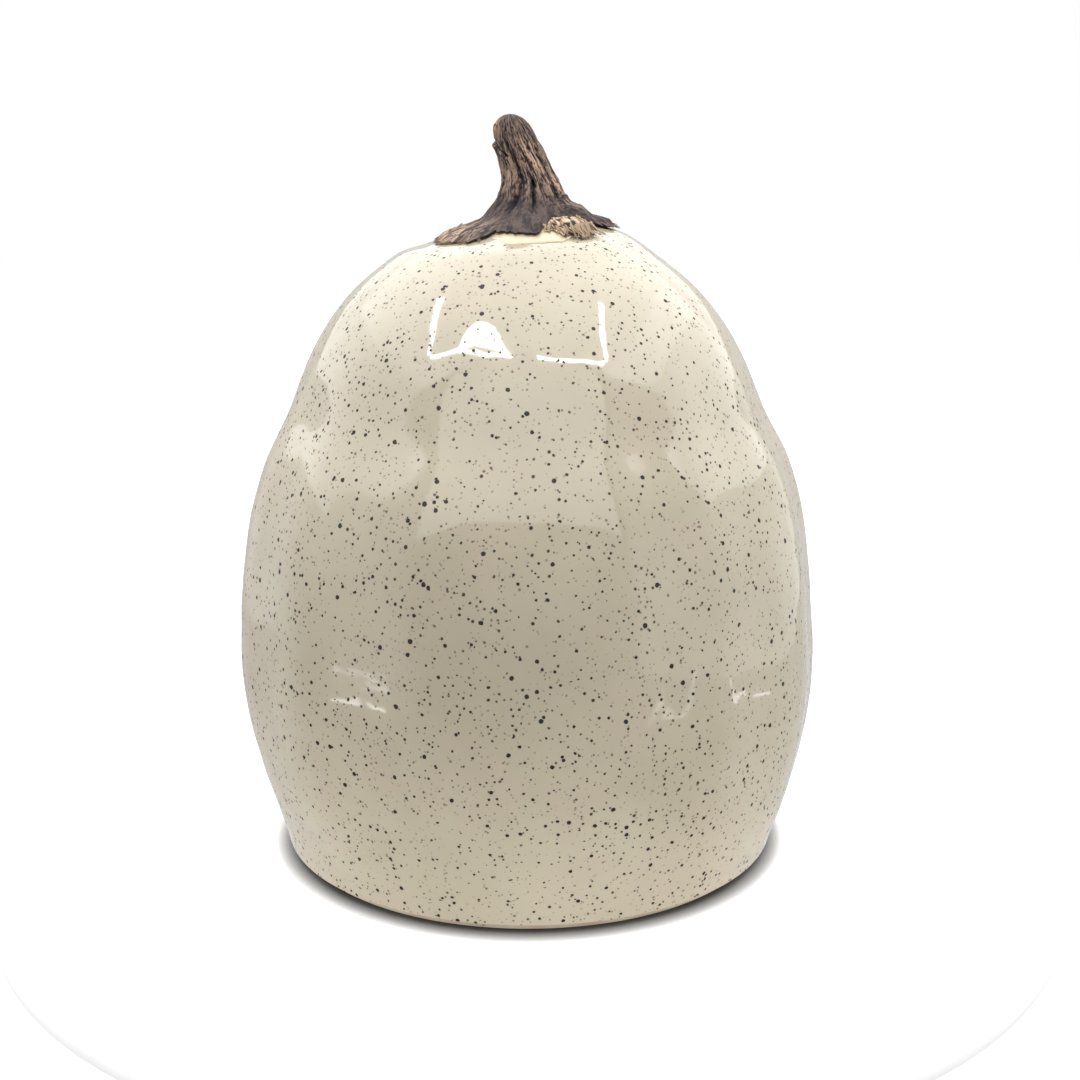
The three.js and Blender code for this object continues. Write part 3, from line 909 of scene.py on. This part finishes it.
# backdrop: white to the camera; for the object, brighter behind it than in front
world = bpy.data.worlds.new("tent")
world.use_nodes = True
tree = world.node_tree
backdrop = tree.nodes["Background"]
towards = addNode(tree, "ShaderNodeTexCoord").outputs["Generated"]
towards = addNode(tree, "ShaderNodeSeparateXYZ", {0: towards})
shade = mapValue(tree, towards.outputs["Y"], -0.2, 0.5, lightLook["wallsFront"], lightLook["wallsBack"])
seen = addNode(tree, "ShaderNodeLightPath").outputs["Is Camera Ray"]
tree.links.new(mathNode(tree, "MAXIMUM", shade, seen), backdrop.inputs["Strength"])
backdrop.inputs["Color"].default_value = (1, 1, 1, 1)
bpy.context.scene.world = world

# wide ceiling with three bright strips in it, a pale front above a dark opening, and pale sides:
# place, what it faces, width, depth, strength, and the only rays that see it
panels = {
    "ceiling": ((0, 0.1, 0.42), (0, 0.1, 0), 0.9, 0.7, "ceiling", None),
    "ceilingSheen": ((0, 0.45, 0.419), (0, 0.45, 0), 2.6, 1.4, "ceilingSheen", "glossy"),
    "frontStrip": ((-0.01, -0.25, 0.418), (-0.01, -0.25, 0), 0.48, 0.012, "frontStrip", "diffuse"),
    "leftStrip": ((-0.245, -0.04, 0.418), (-0.245, -0.04, 0), 0.012, 0.38, "sideStrips", "diffuse"),
    "rightStrip": ((0.225, -0.04, 0.418), (0.225, -0.04, 0), 0.012, 0.38, "sideStrips", "diffuse"),
    "frontWall": ((0, -0.26, 0.3), (0, 0, 0.3), 0.5, 0.235, "frontWall", None),
    "frontSheen": ((0, -0.261, 0.3), (0, 0, 0.3), 0.5, 0.235, "frontSheen", "glossy"),
    "frontFill": ((0, -0.262, 0.09), (0, 0, 0.09), 0.5, 0.19, "frontFill", "diffuse"),
    "leftWall": ((-0.27, 0, 0.2), (0, 0, 0.2), 0.5, 0.4, "leftWall", None),
    "rightWall": ((0.27, 0, 0.2), (0, 0, 0.2), 0.5, 0.4, "rightWall", None),
}
for name, (where, lookAt, width, depth, strength, only) in panels.items():
    panelLight(name, where, lookAt, width, depth, lightLook[strength], only)

# the ceiling's bright edges and a bright patch in it, which only show in the glaze: width and route
edgeHeight = 0.417
edges = {
    "leftEdge": (0.012, [(-0.175, 0.03), (-0.225, -0.05), (-0.255, -0.1), (-0.3, -0.145)]),
    "frontLeftEdge": (0.010, [(-0.295, -0.16), (-0.2, -0.185), (-0.115, -0.24), (-0.065, -0.26),
                              (-0.03, -0.265)]),
    "frontRightEdge": (0.011, [(0.02, -0.26), (0.065, -0.26), (0.16, -0.24), (0.255, -0.215)]),
    "rightEdge": (0.010, [(0.26, -0.21), (0.19, -0.105), (0.155, -0.015)]),
}
for name, (width, path) in edges.items():
    ribbonLight(name, [(x, y, edgeHeight) for x, y in path], width, lightLook["edges"])
patch = [(-0.205, -0.185), (-0.18, -0.165), (-0.155, -0.13), (-0.135, -0.11), (-0.115, -0.105),
         (-0.09, -0.115), (-0.065, -0.15), (-0.03, -0.265), (-0.1, -0.22), (-0.14, -0.2), (-0.17, -0.19)]
lightSheet("ceilingPatch", [(x, y, edgeHeight - 0.0005) for x, y in patch], [tuple(range(len(patch)))],
           lightLook["patch"])
# small bright gaps low beside the pot: width, then direction and height of each point
glints = {
    "leftGlint": (0.0015, [(-63.5, -0.014), (-60, -0.014), (-56.5, -0.0135)]),
    "leftGlow": (0.006, [(-63, -0.027), (-58, -0.029)]),
    "rightGlint": (0.0016, [(49.5, -0.042), (50.5, -0.035), (51.5, -0.013), (52.5, 0.011)]),
    "farRightGlint": (0.002, [(84.5, -0.016), (85.5, -0.029), (87.5, -0.036), (93.5, -0.036)]),
}
for name, (width, path) in glints.items():
    ribbonLight(name, [roundTable(direction, z) for direction, z in path], width, lightLook["glints"])
opening = plainMesh("opening", [(-0.25, -0.265, -0.05), (0.15, -0.265, -0.05), (0.15, -0.265, 0.183),
                                (-0.25, -0.265, 0.183)], [(0, 1, 2, 3)], (0.02, 0.02, 0.02))
opening.visible_camera = False
opening.visible_diffuse = False
print("camera and light set")
